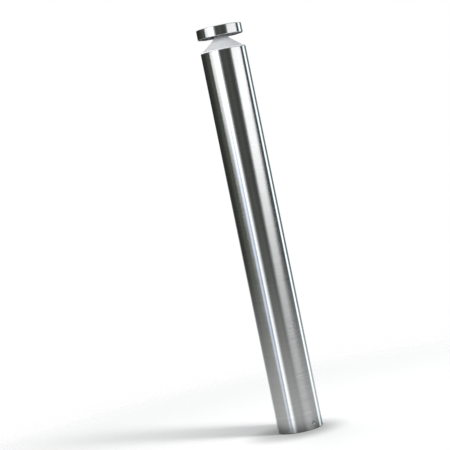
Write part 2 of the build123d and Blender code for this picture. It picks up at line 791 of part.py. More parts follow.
def earth_screw():
    """M4 protective earth screw."""
    return pan_screws([(EARTH_X, EARTH_Z)], TAG_THICK, shank_r=M4_R, head_r=3.5)


# Leads


def lead_end_z():
    """How far down a lead goes into the terminal block."""
    return TERMINAL_Z + TERMINAL_SIZE[2] - LEAD_DEPTH


def led_lead(side):
    """One lead from the driver, up through the stem and over to the LED board; side is -1 or +1."""
    x = side * 1.1
    driver_x = side * 6.0
    driver_top_z = DRIVER_Z + DRIVER_SIZE[2]
    over_z = STEM_TOP_Z + 2.2
    return wire(
        [
            (driver_x, 0, driver_top_z),
            (driver_x, 0, driver_top_z + 8.0),
            (x, 0, STEM_FOOT_Z - 5.0),
            (x, 0, over_z),
            (x, WIRE_HOLE_Y, over_z),
            (x, WIRE_HOLE_Y, BOARD_Z + BOARD_THICK),
        ],
        LED_LEAD_R,
        1.6,
    )


def mains_lead(pole):
    """One short lead from the driver down into a pole of the terminal block."""
    x = terminal_poles()[pole]
    driver_x = x / 2
    driver_y = WEB_Y - 19.0
    return wire(
        [
            (driver_x, driver_y, DRIVER_Z),
            (driver_x, driver_y, DRIVER_Z - 4.0),
            (x, TERMINAL_ENTRY_Y, TERMINAL_Z + TERMINAL_SIZE[2] + 3.0),
            (x, TERMINAL_ENTRY_Y, lead_end_z()),
        ],
        MAINS_LEAD_R,
        2.0,
    )


def earth_lead():
    """Lead from the earth tag into the last pole."""
    x = terminal_poles()[-1]
    crimp_y = WEB_Y - TAG_THICK - MAINS_LEAD_R - SNUG
    return wire(
        [
            (EARTH_X - TAG_R, crimp_y, EARTH_Z),
            (x, crimp_y, EARTH_Z),
            (x, TERMINAL_ENTRY_Y, EARTH_Z),
            (x, TERMINAL_ENTRY_Y, lead_end_z()),
        ],
        MAINS_LEAD_R,
        1.6,
    )


SINGLE_NODES = [
    base_plate,
    ground_gasket,
    cable_grommet,
    post_tube,
    foot_ring,
    tube_bridge,
    reflector_cone,
    cone_o_ring,
    neck_gasket,
    cap_shell,
    lamp_carrier,
    cap_o_ring,
    cap_standoffs,
    cap_screws,
    thermal_pad,
    led_board,
    led_chips,
    board_screws,
    diffuser_ring,
    diffuser_seals,
    centre_stem,
    stem_top_nut,
    stem_washer,
    stem_lock_nut,
    stem_bush,
    gear_tray,
    led_driver,
    driver_screws,
    terminal_block,
    terminal_tubes,
    terminal_clamp_screws,
    terminal_fixing_screw,
    cable_clamp,
    cable_clamp_screws,
    earth_tag,
    earth_screw,
    earth_lead,
]


def all_nodes():
    """Every piece by its node name."""
    nodes = {make.__name__: make() for make in SINGLE_NODES}
    nodes["led_lead_positive"] = led_lead(1)
    nodes["led_lead_negative"] = led_lead(-1)
    nodes["mains_lead_live"] = mains_lead(0)
    nodes["mains_lead_neutral"] = mains_lead(1)
    for side, angle in SCREW_ANGLES.items():
        nodes[f"locking_screw_{side}"] = locking_screw(angle)
    return nodes


os.makedirs("parts", exist_ok=True)
for name, shape in all_nodes().items():
    export_step(shape, f"parts/{name}.step")
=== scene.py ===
"""Looks for the bollard light: materials for the CAD nodes, small extras, floor, studio light and camera."""

import json
import math

import bpy
from mathutils import Euler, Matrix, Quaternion, Vector


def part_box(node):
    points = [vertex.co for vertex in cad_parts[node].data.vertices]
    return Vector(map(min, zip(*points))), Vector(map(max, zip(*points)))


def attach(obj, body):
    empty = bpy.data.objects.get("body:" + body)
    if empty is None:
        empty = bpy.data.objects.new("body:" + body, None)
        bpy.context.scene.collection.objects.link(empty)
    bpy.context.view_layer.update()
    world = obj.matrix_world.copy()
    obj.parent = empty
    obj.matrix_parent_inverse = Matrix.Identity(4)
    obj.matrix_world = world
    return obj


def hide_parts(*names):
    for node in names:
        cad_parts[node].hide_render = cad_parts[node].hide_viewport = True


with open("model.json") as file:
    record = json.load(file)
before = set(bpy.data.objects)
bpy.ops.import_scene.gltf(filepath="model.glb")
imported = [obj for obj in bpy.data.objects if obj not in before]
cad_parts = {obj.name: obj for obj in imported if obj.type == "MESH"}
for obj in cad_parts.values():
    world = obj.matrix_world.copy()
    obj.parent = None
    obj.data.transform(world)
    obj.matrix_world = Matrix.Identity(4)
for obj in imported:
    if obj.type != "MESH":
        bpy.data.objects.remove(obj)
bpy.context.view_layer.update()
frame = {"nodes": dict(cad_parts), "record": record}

MICRON = 1e-6
DEGREE = 180 / math.pi
WHITE = (1.0, 1.0, 1.0, 1.0)
FOOT_CENTRE = (0.0, 0.0, 0.0)
UP = Vector((0.0, 0.0, 1.0))

# Where most values of a noise lie, and where the middle ones do
NOISE_RANGE = (0.3, 0.7)
NOISE_CORE = (0.35, 0.65)

# Turns a smeared highlight to run along the post instead of round it
QUARTER_TURN = 0.25

# LEDs: a ring of chips, each with a phosphor window under it
CHIP_FLOOR_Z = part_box("led_chips")[0].z
LED_COUNT = 18
LED_STEP = 2 * math.pi / LED_COUNT
LED_PLACE_RADIUS = 0.0255
WINDOW_RADIUS = 0.00115
WINDOW_MARGIN = 1.02
DOME_RISE = 0.00035
DOME_RINGS = 4
DOME_TURNS = 20
PAD_PLACE = 0.0017
PAD_HALF_WIDTH = 0.0010
PAD_HALF_LENGTH = 0.0006
TRACE_PLACE = 0.0024
TRACE_HALF_WIDTH = 0.0011
TRACE_HALF_GAP = 0.0012

# The LED driver's lid, seen from its side
DRIVER_LOW, DRIVER_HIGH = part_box("led_driver")
LID_SHARE = 0.3
LID_SEAM_Y = DRIVER_HIGH.y - LID_SHARE * (DRIVER_HIGH.y - DRIVER_LOW.y)
LID_SEAM_HALF_WIDTH = 0.0002
LID_SEAM_DEPTH = 0.0002

# Painted shade on the cone's coat, greyer on the upright rim and up under the cap: heights, and the share of
# the colour there
CONE_PAINTED_SHADE = [(0.7558, 0.80), (0.7566, 1.0), (0.7750, 1.0), (0.7790, 0.25)]

# Locking screws: M5 set screws with a hexagon socket
SET_SCREWS = ("locking_screw_right", "locking_screw_rear", "locking_screw_left")
SET_SCREW_TURNS = 48
SET_SCREW_RADIUS = 0.0025
SET_SCREW_LENGTH = 0.006
SET_SCREW_CHAMFER = 0.0005
THREAD_PITCH = 0.0008
THREAD_DEPTH = 0.00035
RINGS_PER_PITCH = 8
# Half the width of the thread's flat crest, as a share of its pitch
THREAD_HALF_CREST = 0.1
# How many times its depth the thread's side would fall in one pitch
THREAD_SLOPE = 3.0
SOCKET_HALF_WIDTH = 0.00125
SOCKET_DEPTH = 0.0026
CUP_RADIUS = 0.0012
CUP_DEPTH = 0.0006
SHARP_ANGLE_DEG = 30.0

# Camera, from the base's centre
CAMERA_DISTANCE = 3.018
CAMERA_HEIGHT = 0.5486
CAMERA_YAW_DEG = -1.232
CAMERA_PITCH_DEG = -2.424
CAMERA_ROLL_DEG = -11.645
CAMERA_LENS_MM = 124.0
CAMERA_CLIP_START = 0.05
SENSOR_MM = 36.0

# Soft boxes over the floor
LIGHT_DISTANCE = 2.2
FLOOR_LIGHTS = {
    "key": dict(turn=50.0, rise=70.0, width=0.20, height=1.8, watts=52.0),
    "back": dict(turn=205.0, rise=72.0, width=0.8, height=0.8, watts=17.0),
}

# Floor. A fade or shade runs between two distances from its centre, and a share is the light left inside it.
FLOOR_RADIUS = 3.5
FLOOR_TURNS = 96
FLOOR_TONES = ((0.59, 0.59, 0.59, 1.0), (0.62, 0.62, 0.62, 1.0))
FLOOR_ROUGHNESS = 0.7
FLOOR_FADE = (0.45, 1.1)
# Soft shadow painted into the floor's colour where the post meets it
PAINTED_SHADOW_CENTRE = (-0.010, -0.018, 0.0)
PAINTED_SHADOW_SPAN = (0.04, 0.12)
PAINTED_SHADOW_SHARE = 0.6
# Pool of light that the steel mirrors, dimmer at the foot
POOL_GLOW = 0.50
POOL_SPREAD = 1.45
FOOT_SHADE = (0.05, 0.20)
FOOT_SHARE = 0.25
# The studio's strips, which mirrored rays see through the floor, dimmer at the foot
STRIP_CENTRE = (-0.03, -0.05, 0.0)
STRIP_SHADE = (-0.03, 0.15)
STRIP_SHARE = 0.20

# The studio as the steel mirrors it. Turns are degrees round the post, 0 toward the camera, 90 to its right.
# Heights are degrees above the horizon, and each pair of them is where a change starts and ends.
LEAN_HEIGHTS = (-6.0, 3.0)
# So far down and up that a soft box is cut neither at its foot nor at its top
UNDER = (-80.0, -60.0)
OVER = (45.0, 60.0)
SHEEN = (-34.0, -15.0)
CEILING_FADE = (13.0, 45.0)
CEILING = (0.70, 0.72, 0.75, 1.0)
ROOM = [
    (-180, (0.035, 0.035, 0.035, 1.0)),
    (-135, (0.036, 0.041, 0.034, 1.0)),
    (-110, (0.055, 0.060, 0.050, 1.0)),
    (-95, (0.104, 0.110, 0.092, 1.0)),
    (-10, (0.086, 0.089, 0.080, 1.0)),
    (4, (0.102, 0.106, 0.096, 1.0)),
    (20, (0.070, 0.072, 0.068, 1.0)),
    (103, (0.084, 0.090, 0.091, 1.0)),
    (140, (0.190, 0.205, 0.220, 1.0)),
    (162, (0.210, 0.225, 0.235, 1.0)),
    (180, (0.110, 0.115, 0.120, 1.0)),
]
# What lights matt surfaces: from the left, from the right, and how that changes with height
EVEN_LIGHT = ((2.78, 2.80, 2.83, 1.0), (1.77, 1.79, 1.82, 1.0))
EVEN_FADE = (-0.3, 1.0)
GROUND_FADE = (-45.0, -6.0)
GROUND_SHARE = 0.15
SKY_FADE = (4.0, 40.0)
SKY_SHARE = 0.06

LEFT_PANEL = dict(left=-60.0, right=-30.0, glow=(1.60, 1.60, 1.60, 1.0), lean=(-5.6, 0.0), low=(-2.0, 1.6))
BLUE_STRIP = dict(left=-56.0, right=-44.0, glow=(0.72, 0.86, 1.18, 1.0), low=(-16.0, -2.0))
WHITE_STRIP = dict(
    left=-38.5,
    right=-25.5,
    glow=(1.50, 1.54, 1.58, 1.0),
    lean=(0.0, -0.3),
    low=(-24.0, -5.0),
    edge=(3.0, 9.0),
)
RIGHT_PANEL = dict(
    left=35.5,
    right=86.0,
    glow=(2.4, 2.4, 2.4, 1.0),
    lean=(1.8, 3.8),
    low=(-9.5, 4.5),
    high=(4.6, 6.8),
    edge=(4.0, 2.5),
)
COOL_STRIP = dict(left=117.0, right=134.0, glow=(1.65, 1.85, 1.85, 1.0), low=(-18.0, -4.0))
LOW_BACK_WALL = dict(
    left=-172.0,
    right=-152.0,
    glow=(0.42, 0.43, 0.43, 1.0),
    high=(-5.0, 1.0),
    edge=(3.0, 9.0),
)
# What the floor throws back of the panels and strips, seen only from well above
LEFT_SHEEN = dict(left=-64.0, right=-24.0, glow=(0.90, 0.92, 0.95, 1.0), high=SHEEN, edge=(8.0, 5.0))
RIGHT_SHEEN = dict(left=40.0, right=84.0, glow=(1.00, 1.00, 1.00, 1.0), high=SHEEN, edge=(6.0, 9.0))
COOL_SHEEN = dict(left=114.0, right=136.0, glow=(1.10, 1.20, 1.20, 1.0), high=SHEEN, edge=(5.0, 5.0))
SOFT_BOXES = [
    LEFT_PANEL,
    BLUE_STRIP,
    WHITE_STRIP,
    RIGHT_PANEL,
    COOL_STRIP,
    LOW_BACK_WALL,
    LEFT_SHEEN,
    RIGHT_SHEEN,
    COOL_SHEEN,
]


def to_linear(c):
    """One display channel, 0 to 1, as linear light."""
    return c / 12.92 if c <= 0.04045 else ((c + 0.055) / 1.055) ** 2.4


def linear(r, g, b):
    """A display colour, 0 to 255 each, as linear RGBA."""
    return tuple(to_linear(c / 255) for c in (r, g, b)) + (1.0,)


def faded(colour, share):
    """A colour with its light multiplied by a share."""
    return tuple(c * share for c in colour[:3]) + (1.0,)


# Node helpers


class Nodes:
    """A short way to write a material's or the world's node tree."""

    def __init__(self, tree):
        self.tree = tree
        self.tree.nodes.clear()

    def add(self, kind, inputs=None, **settings):
        """Adds a node. inputs maps a socket's name or number to a value or to another node's socket."""
        node = self.tree.nodes.new("ShaderNode" + kind)
        for key, value in settings.items():
            setattr(node, key, value)
        for key, value in (inputs or {}).items():
            self.put(node, key, value)
        return node

    def put(self, node, key, value):
        """Sets or links one input."""
        if isinstance(value, bpy.types.Node):
            value = value.outputs[0]
        if isinstance(value, bpy.types.NodeSocket):
            self.tree.links.new(value, node.inputs[key])
        else:
            node.inputs[key].default_value = value

    def math(self, operation, a, b=0.0):
        """One Math node."""
        return self.add("Math", {0: a, 1: b}, operation=operation)

    def ramp(self, factor, stops):
        """A colour ramp with (position, grey or colour) stops."""
        node = self.add("ValToRGB", {0: factor})
        elements = node.color_ramp.elements
        while len(elements) < len(stops):
            elements.new(0.5)
        for element, (position, value) in zip(elements, stops):
            element.position = position
            element.color = value if isinstance(value, tuple) else (value, value, value, 1.0)
        return node

    def span(self, value, low, high, to_low=0.0, to_high=1.0):
        """Maps a value from one range to another, clamped."""
        return self.add("MapRange", {0: value, 1: low, 2: high, 3: to_low, 4: to_high})

    def smooth(self, value, low, high, to_low=0.0, to_high=1.0):
        """Maps a value from one range to another along an S curve."""
        inputs = {0: value, 1: low, 2: high, 3: to_low, 4: to_high}
        return self.add("MapRange", inputs, interpolation_type="SMOOTHSTEP")

    def mix(self, factor, a, b, blend="MIX"):
        """Mixes two colours."""
        node = self.add("Mix", data_type="RGBA", blend_type=blend)
        self.put(node, 0, factor)
        self.put(node, 6, a)
        self.put(node, 7, b)
        return node.outputs[2]

    def times(self, a, b):
        """One colour multiplied by another, or by a share."""
        return self.mix(1.0, a, b, "MULTIPLY")

    def noise(self, vector, scale, detail=3.0, rough=0.5):
        """Noise with its factor output."""
        inputs = {"Vector": vector, "Scale": scale, "Detail": detail, "Roughness": rough}
        return self.add("TexNoise", inputs).outputs[0]

    def bump(self, height, distance, normal=None):
        """A bump, with its height in metres, on top of another normal if one is given."""
        inputs = {"Height": height, "Distance": distance, "Strength": 1.0}
        if normal is not None:
            inputs["Normal"] = normal
        return self.add("Bump", inputs)


def material(name):
    """A new material's node helper and its Principled shader."""
    mat = bpy.data.materials.new(name)
    mat.use_nodes = True
    nodes = Nodes(mat.node_tree)
    shader = nodes.add("BsdfPrincipled")
    nodes.add("OutputMaterial", {0: shader})
    return mat, nodes, shader


def place(nodes):
    """The point being shaded, in the frame's metres."""
    return nodes.add("TexCoord").outputs["Object"]


def split(nodes, vector):
    """The X, Y and Z of a vector."""
    return nodes.add("SeparateXYZ", {0: vector}).outputs


def reach(nodes, x, y):
    """How far a point of a plane is from its origin."""
    squares = nodes.math("ADD", nodes.math("MULTIPLY", x, x), nodes.math("MULTIPLY", y, y))
    return nodes.math("SQRT", squares)


def distance_from(nodes, centre):
    """How far the point being shaded is from a centre, in metres."""
    return nodes.add("VectorMath", {0: place(nodes), 1: centre}, operation="DISTANCE").outputs["Value"]


def near(nodes, value, centre, half_width):
    """1 where a value is within half_width of centre, else 0."""
    off_centre = nodes.math("ABSOLUTE", nodes.math("SUBTRACT", value, centre))
    return nodes.math("LESS_THAN", off_centre, half_width)


def by_height(nodes, stops):
    """A share that goes with height, from (height, share) stops, lowest first."""
    low = stops[0][0]
    high = stops[-1][0]
    height = nodes.span(split(nodes, place(nodes))["Z"], low, high)
    return nodes.ramp(height, [((z - low) / (high - low), share) for z, share in stops])


def round_grain(nodes, length, width, detail=2.0):
    """Noise for brushed grain, this long round the post's axis and this wide across it, in metres."""
    x, y, z = split(nodes, place(nodes))
    along_x = nodes.math("DIVIDE", x, length)
    along_y = nodes.math("DIVIDE", y, length)
    across = nodes.math("DIVIDE", nodes.math("SUBTRACT", z, reach(nodes, x, y)), width)
    vector = nodes.add("CombineXYZ", {0: along_x, 1: along_y, 2: across})
    return nodes.noise(vector, 1.0, detail)


def round_sheen(nodes, shader, amount):
    """Smears a highlight along the post and keeps it sharp across, as grain that runs round it does."""
    nodes.put(shader, "Anisotropic", amount)
    nodes.put(shader, "Anisotropic Rotation", QUARTER_TURN)
    nodes.put(shader, "Tangent", nodes.add("Tangent", direction_type="RADIAL", axis="Z"))


# Metals


def brushed_steel(name):
    """Satin stainless: fine grain running round the post, with streaks in it and a few smudges."""
    mat, n, shader = material(name)
    fine = round_grain(n, length=0.030, width=0.00025)
    streak = round_grain(n, length=0.060, width=0.0016, detail=3.0)
    smudge = n.noise(place(n), scale=14.0, detail=2.0)
    tone = n.span(streak, *NOISE_RANGE)
    n.put(shader, "Base Color", n.mix(tone, linear(198, 199, 199), linear(208, 209, 210)))
    n.put(shader, "Metallic", 1.0)
    streak_rough = n.span(streak, *NOISE_RANGE, to_low=0.14, to_high=0.16)
    smudge_rough = n.span(smudge, 0.45, 0.7, to_low=0.0, to_high=0.02)
    n.put(shader, "Roughness", n.math("ADD", streak_rough, smudge_rough))
    round_sheen(n, shader, 0.7)
    n.put(shader, "Normal", n.bump(n.mix(0.35, fine, streak), 4 * MICRON))
    return mat


def turned_metal(name, colour, tool_step):
    """Lathe-turned aluminium: even tool rings round the post, with a fine tooth between them."""
    mat, n, shader = material(name)
    x, y, z = split(n, place(n))
    across = n.math("SUBTRACT", z, reach(n, x, y))
    ring = n.math("SINE", n.math("MULTIPLY", across, 2 * math.pi / tool_step))
    tooth = round_grain(n, length=0.300, width=0.00012)
    band = round_grain(n, length=0.400, width=0.0020)
    n.put(shader, "Base Color", n.mix(n.span(band, *NOISE_CORE), faded(colour, 0.80), colour))
    n.put(shader, "Metallic", 0.9)
    n.put(shader, "Roughness", n.span(band, *NOISE_CORE, to_low=0.36, to_high=0.29))
    round_sheen(n, shader, 0.6)
    n.put(shader, "Normal", n.bump(n.math("ADD", ring, tooth), 4 * MICRON))
    return mat


def zinc_metal(name, colour):
    """Bright zinc on steel: faint crystals that differ in tone, and fine scuffs."""
    mat, n, shader = material(name)
    crystal = n.add("TexVoronoi", {"Vector": place(n), "Scale": 300.0}).outputs["Color"]
    scuff = n.noise(place(n), scale=900.0, detail=2.0)
    n.put(shader, "Base Color", n.times(colour, n.span(crystal, 0.0, 1.0, to_low=0.88, to_high=1.0)))
    n.put(shader, "Metallic", 0.9)
    crystal_rough = n.span(crystal, 0.0, 1.0, to_low=0.29, to_high=0.34)
    scuff_rough = n.span(scuff, 0.4, 0.7, to_low=0.0, to_high=0.08)
    n.put(shader, "Roughness", n.math("ADD", crystal_rough, scuff_rough))
    n.put(shader, "Normal", n.bump(scuff, 2 * MICRON))
    return mat


def brass(name, colour):
    """Machined brass: fine tool lines and a little darker staining in patches."""
    mat, n, shader = material(name)
    tool = round_grain(n, length=0.020, width=0.00015)
    stain = n.noise(place(n), scale=240.0, detail=4.0, rough=0.65)
    n.put(shader, "Base Color", n.mix(n.span(stain, 0.50, 0.75), colour, faded(colour, 0.70)))
    n.put(shader, "Metallic", 0.95)
    n.put(shader, "Roughness", n.span(stain, *NOISE_RANGE, to_low=0.29, to_high=0.40))
    n.put(shader, "Normal", n.bump(tool, 6 * MICRON))
    return mat


def cast_metal(name, colour):
    """Raw aluminium casting: a grainy skin that is paler on its high grains, and broad dull patches."""
    mat, n, shader = material(name)
    grain = n.noise(place(n), scale=1000.0, detail=4.0, rough=0.7)
    flow = n.noise(place(n), scale=45.0, detail=3.0, rough=0.6)
    skin = n.mix(n.span(grain, *NOISE_CORE), faded(colour, 0.62), colour)
    dull = n.span(flow, 0.35, 0.7, to_low=0.0, to_high=0.35)
    n.put(shader, "Base Color", n.mix(dull, skin, faded(colour, 0.66)))
    n.put(shader, "Metallic", 0.75)
    n.put(shader, "Roughness", n.span(grain, *NOISE_CORE, to_low=0.62, to_high=0.45))
    n.put(shader, "Normal", n.bump(grain, 70 * MICRON))
    return mat


# Coatings and plastics


def powder_coat(name, colour, rough, orange_peel, painted_shade=None):
    """Powder coat on metal: even, with a faint orange-peel skin. Its painted shade, if given, greys the
    colour at some heights.
    """
    mat, n, shader = material(name)
    peel = n.noise(place(n), scale=1100.0, detail=2.0)
    tone = n.noise(place(n), scale=45.0, detail=2.0)
    coat = n.mix(tone, faded(colour, 0.94), colour)
    # Painted shade: the colour is greyed by height
    if painted_shade:
        coat = n.times(coat, by_height(n, painted_shade))
    n.put(shader, "Base Color", coat)
    n.put(shader, "Roughness", n.span(tone, *NOISE_RANGE, rough - 0.04, rough + 0.04))
    n.put(shader, "Normal", n.bump(peel, orange_peel))
    return mat


def moulded(name, colour, rough, skin):
    """Moulded plastic or rubber with a fine eroded skin, darker in its low grains."""
    mat, n, shader = material(name)
    texture = n.noise(place(n), scale=1500.0, detail=3.0, rough=0.6)
    tone = n.noise(place(n), scale=90.0, detail=2.0)
    body = n.mix(tone, faded(colour, 0.85), colour)
    low_grain = n.span(texture, *NOISE_CORE, to_low=0.25, to_high=0.0)
    n.put(shader, "Base Color", n.mix(low_grain, body, faded(colour, 0.7)))
    n.put(shader, "Roughness", n.span(texture, *NOISE_RANGE, rough - 0.05, rough + 0.08))
    n.put(shader, "Normal", n.bump(texture, skin))
    return mat


def driver_plastic(name, colour):
    """The driver's moulded case, with the joint between its tub and its lid as a fine dark groove."""
    mat, n, shader = material(name)
    groove = near(n, split(n, place(n))["Y"], LID_SEAM_Y, LID_SEAM_HALF_WIDTH)
    texture = n.noise(place(n), scale=2000.0, detail=3.0, rough=0.6)
    body = n.mix(n.span(texture, *NOISE_CORE), faded(colour, 0.88), colour)
    n.put(shader, "Base Color", n.mix(groove, body, faded(colour, 0.15)))
    n.put(shader, "Roughness", n.span(texture, *NOISE_RANGE, to_low=0.45, to_high=0.60))
    skin = n.bump(texture, 30 * MICRON)
    n.put(shader, "Normal", n.bump(n.math("SUBTRACT", 1.0, groove), LID_SEAM_DEPTH, skin))
    return mat


def filled_silicone(name, colour, speck_colour):
    """Soft heat pad: matt silicone with pale mineral specks."""
    mat, n, shader = material(name)
    specks = n.noise(place(n), scale=4200.0, detail=2.0)
    n.put(shader, "Base Color", n.mix(n.span(specks, 0.58, 0.66), colour, speck_colour))
    n.put(shader, "Roughness", n.span(specks, *NOISE_RANGE, to_low=0.72, to_high=0.55))
    n.put(shader, "Normal", n.bump(specks, 20 * MICRON))
    return mat


def chip_place(nodes):
    """How far the point is from the nearest LED's centre, round the ring and outward, in metres."""
    x, y, _ = split(nodes, place(nodes))
    turn = nodes.math("DIVIDE", nodes.math("ARCTAN2", y, x), LED_STEP)
    off_turn = nodes.math("SUBTRACT", nodes.math("FRACT", turn), 0.5)
    radius = reach(nodes, x, y)
    sideways = nodes.math("MULTIPLY", nodes.math("MULTIPLY", off_turn, LED_STEP), radius)
    return sideways, nodes.math("SUBTRACT", radius, LED_PLACE_RADIUS)


def led_board(name):
    """White solder mask over copper arcs that stand a little proud, with tinned pads at each LED."""
    mat, n, shader = material(name)
    sideways, outward = chip_place(n)
    aside = n.math("ABSOLUTE", sideways)
    off_ring = n.math("ABSOLUTE", outward)
    past_gap = n.math("GREATER_THAN", aside, TRACE_HALF_GAP)
    trace = n.math("MULTIPLY", near(n, off_ring, TRACE_PLACE, TRACE_HALF_WIDTH), past_gap)
    on_pad = near(n, aside, 0.0, PAD_HALF_WIDTH)
    pad = n.math("MULTIPLY", near(n, off_ring, PAD_PLACE, PAD_HALF_LENGTH), on_pad)
    mottle = n.noise(place(n), scale=300.0, detail=2.0)
    mask = n.mix(mottle, linear(222, 223, 219), linear(232, 233, 230))
    mask = n.mix(n.math("MULTIPLY", trace, 0.5), mask, linear(214, 216, 210))
    n.put(shader, "Base Color", n.mix(pad, mask, linear(190, 192, 194)))
    n.put(shader, "Metallic", pad)
    n.put(shader, "Roughness", n.span(pad, 0.0, 1.0, to_low=0.38, to_high=0.25))
    n.put(shader, "Normal", n.bump(n.math("MAXIMUM", trace, pad), 40 * MICRON))
    return mat


def led_package(name):
    """White LED body with a round yellow phosphor window."""
    mat, n, shader = material(name)
    sideways, outward = chip_place(n)
    window = n.math("LESS_THAN", reach(n, sideways, outward), WINDOW_RADIUS * WINDOW_MARGIN)
    grain = n.noise(place(n), scale=6000.0, detail=2.0)
    phosphor = n.mix(grain, linear(226, 184, 52), linear(240, 204, 84))
    n.put(shader, "Base Color", n.mix(window, linear(226, 226, 222), phosphor))
    n.put(shader, "Roughness", n.span(grain, *NOISE_RANGE, to_low=0.30, to_high=0.42))
    n.put(shader, "Normal", n.bump(grain, 6 * MICRON))
    return mat


def clear_plastic(name):
    """Clear polycarbonate with faint moulding ripples."""
    mat, n, shader = material(name)
    ripple = n.noise(place(n), scale=120.0, detail=2.0)
    n.put(shader, "Base Color", linear(240, 243, 247))
    n.put(shader, "Roughness", n.span(ripple, *NOISE_RANGE, to_low=0.02, to_high=0.05))
    n.put(shader, "IOR", 1.58)
    n.put(shader, "Transmission Weight", 0.9)
    n.put(shader, "Normal", n.bump(ripple, 20 * MICRON))
    return mat


def striped_lead(name, stripes_per_metre):
    """Green insulation with yellow stripes along the lead."""
    mat, n, shader = material(name)
    x = split(n, place(n))["X"]
    stripe = n.span(n.math("SINE", n.math("MULTIPLY", x, 2 * math.pi * stripes_per_metre)), -0.1, 0.1)
    skin = n.noise(place(n), scale=1500.0, detail=2.0)
    n.put(shader, "Base Color", n.mix(stripe, linear(45, 120, 50), linear(225, 205, 40)))
    n.put(shader, "Roughness", n.span(skin, *NOISE_RANGE, to_low=0.30, to_high=0.42))
    n.put(shader, "Normal", n.bump(skin, 4 * MICRON))
    return mat


def lead_insulation(r, g, b):
    """The recipe of a lead's smooth insulation in one colour."""
    return moulded, dict(colour=linear(r, g, b), rough=0.35, skin=4 * MICRON)


# How each material slot in the record is made: its function, and what that takes after the name
RECIPES = {
    "brushed_stainless": (brushed_steel, {}),
    "zinc_steel": (zinc_metal, dict(colour=linear(204, 207, 210))),
    "turned_aluminium": (turned_metal, dict(colour=linear(214, 215, 217), tool_step=0.0003)),
    "raw_casting": (cast_metal, dict(colour=linear(196, 198, 200))),
    "brass": (brass, dict(colour=linear(214, 178, 104))),
    # The cone's white coat, with shade painted into it by height
    "white_casting": (
        powder_coat,
        dict(colour=linear(235, 237, 239), rough=0.42, orange_peel=20 * MICRON, painted_shade=CONE_PAINTED_SHADE),
    ),
    "black_casting": (powder_coat, dict(colour=linear(14, 14, 15), rough=0.12, orange_peel=4 * MICRON)),
    "board_white": (led_board, {}),
    "led_yellow": (led_package, {}),
    "clear_polycarbonate": (clear_plastic, {}),
    "black_rubber": (moulded, dict(colour=linear(28, 28, 28), rough=0.7, skin=30 * MICRON)),
    # Grey that is partly painted shade, for the neck gasket in the shaded gap under the cap
    "clear_silicone": (moulded, dict(colour=linear(120, 123, 125), rough=0.4, skin=15 * MICRON)),
    "grey_silicone": (
        filled_silicone,
        dict(colour=linear(112, 118, 128), speck_colour=linear(165, 170, 176)),
    ),
    "driver_case": (driver_plastic, dict(colour=linear(206, 208, 209))),
    "terminal_plastic": (moulded, dict(colour=linear(206, 203, 190), rough=0.45, skin=20 * MICRON)),
    "black_plastic": (moulded, dict(colour=linear(32, 32, 34), rough=0.45, skin=30 * MICRON)),
    "lead_red": lead_insulation(170, 30, 26),
    "lead_black": lead_insulation(24, 24, 24),
    "lead_brown": lead_insulation(104, 62, 40),
    "lead_blue": lead_insulation(40, 90, 170),
    "lead_green_yellow": (striped_lead, dict(stripes_per_metre=500.0)),
}
LOOKS = {slot: make(slot, **settings) for slot, (make, settings) in RECIPES.items()}


def dress_cad():
    """Gives every CAD node the look of its material slot in the record."""
    for part in frame["record"]["subparts"]:
        node = frame["nodes"][part["node"]]
        for slot in node.material_slots:
            slot.material = LOOKS[part["material_slot"]]


# Extra visible pieces


def new_object(name, verts, faces, look):
    """A mesh object in the scene with one material."""
    mesh = bpy.data.meshes.new(name)
    mesh.from_pydata(verts, [], faces)
    mesh.materials.append(look)
    piece = bpy.data.objects.new(name, mesh)
    bpy.context.scene.collection.objects.link(piece)
    return piece


def circle(turns):
    """The angles of a circle's points."""
    return [2 * math.pi * turn / turns for turn in range(turns)]


def ring_faces(start, rings, turns):
    """Faces between rings of points that follow each other, each ring with as many points."""
    faces = []
    for ring in range(rings - 1):
        low = start + ring * turns
        for turn in range(turns):
            after = (turn + 1) % turns
            faces.append((low + turn, low + turns + turn, low + turns + after, low + after))
    return faces


def phosphor_domes():
    """A soft dome of phosphor under each LED chip, all in one mesh."""
    verts = []
    faces = []
    for led in range(LED_COUNT):
        angle = LED_STEP * (led + 0.5)
        cx = LED_PLACE_RADIUS * math.cos(angle)
        cy = LED_PLACE_RADIUS * math.sin(angle)
        start = len(verts)
        for ring in range(DOME_RINGS):
            lean = 0.5 * math.pi * ring / DOME_RINGS
            z = CHIP_FLOOR_Z - DOME_RISE * math.sin(lean)
            radius = WINDOW_RADIUS * math.cos(lean)
            verts += [(cx + radius * math.cos(a), cy + radius * math.sin(a), z) for a in circle(DOME_TURNS)]
        tip = len(verts)
        verts.append((cx, cy, CHIP_FLOOR_Z - DOME_RISE))
        faces += ring_faces(start, DOME_RINGS, DOME_TURNS)
        last = tip - DOME_TURNS
        faces += [(last + turn, tip, last + (turn + 1) % DOME_TURNS) for turn in range(DOME_TURNS)]
        faces.append(tuple(start + turn for turn in range(DOME_TURNS)))
    domes = new_object("phosphor_domes", verts, faces, LOOKS["led_yellow"])
    domes.data.shade_smooth()
    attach(domes, "post")


def thread_radius(along, angle):
    """How far out the thread reaches at a place along the screw and an angle round it."""
    phase = (along / THREAD_PITCH + angle / (2 * math.pi)) % 1.0
    depth_share = THREAD_SLOPE * (abs(phase - 0.5) - THREAD_HALF_CREST)
    return SET_SCREW_RADIUS - THREAD_DEPTH * min(1.0, max(0.0, depth_share))


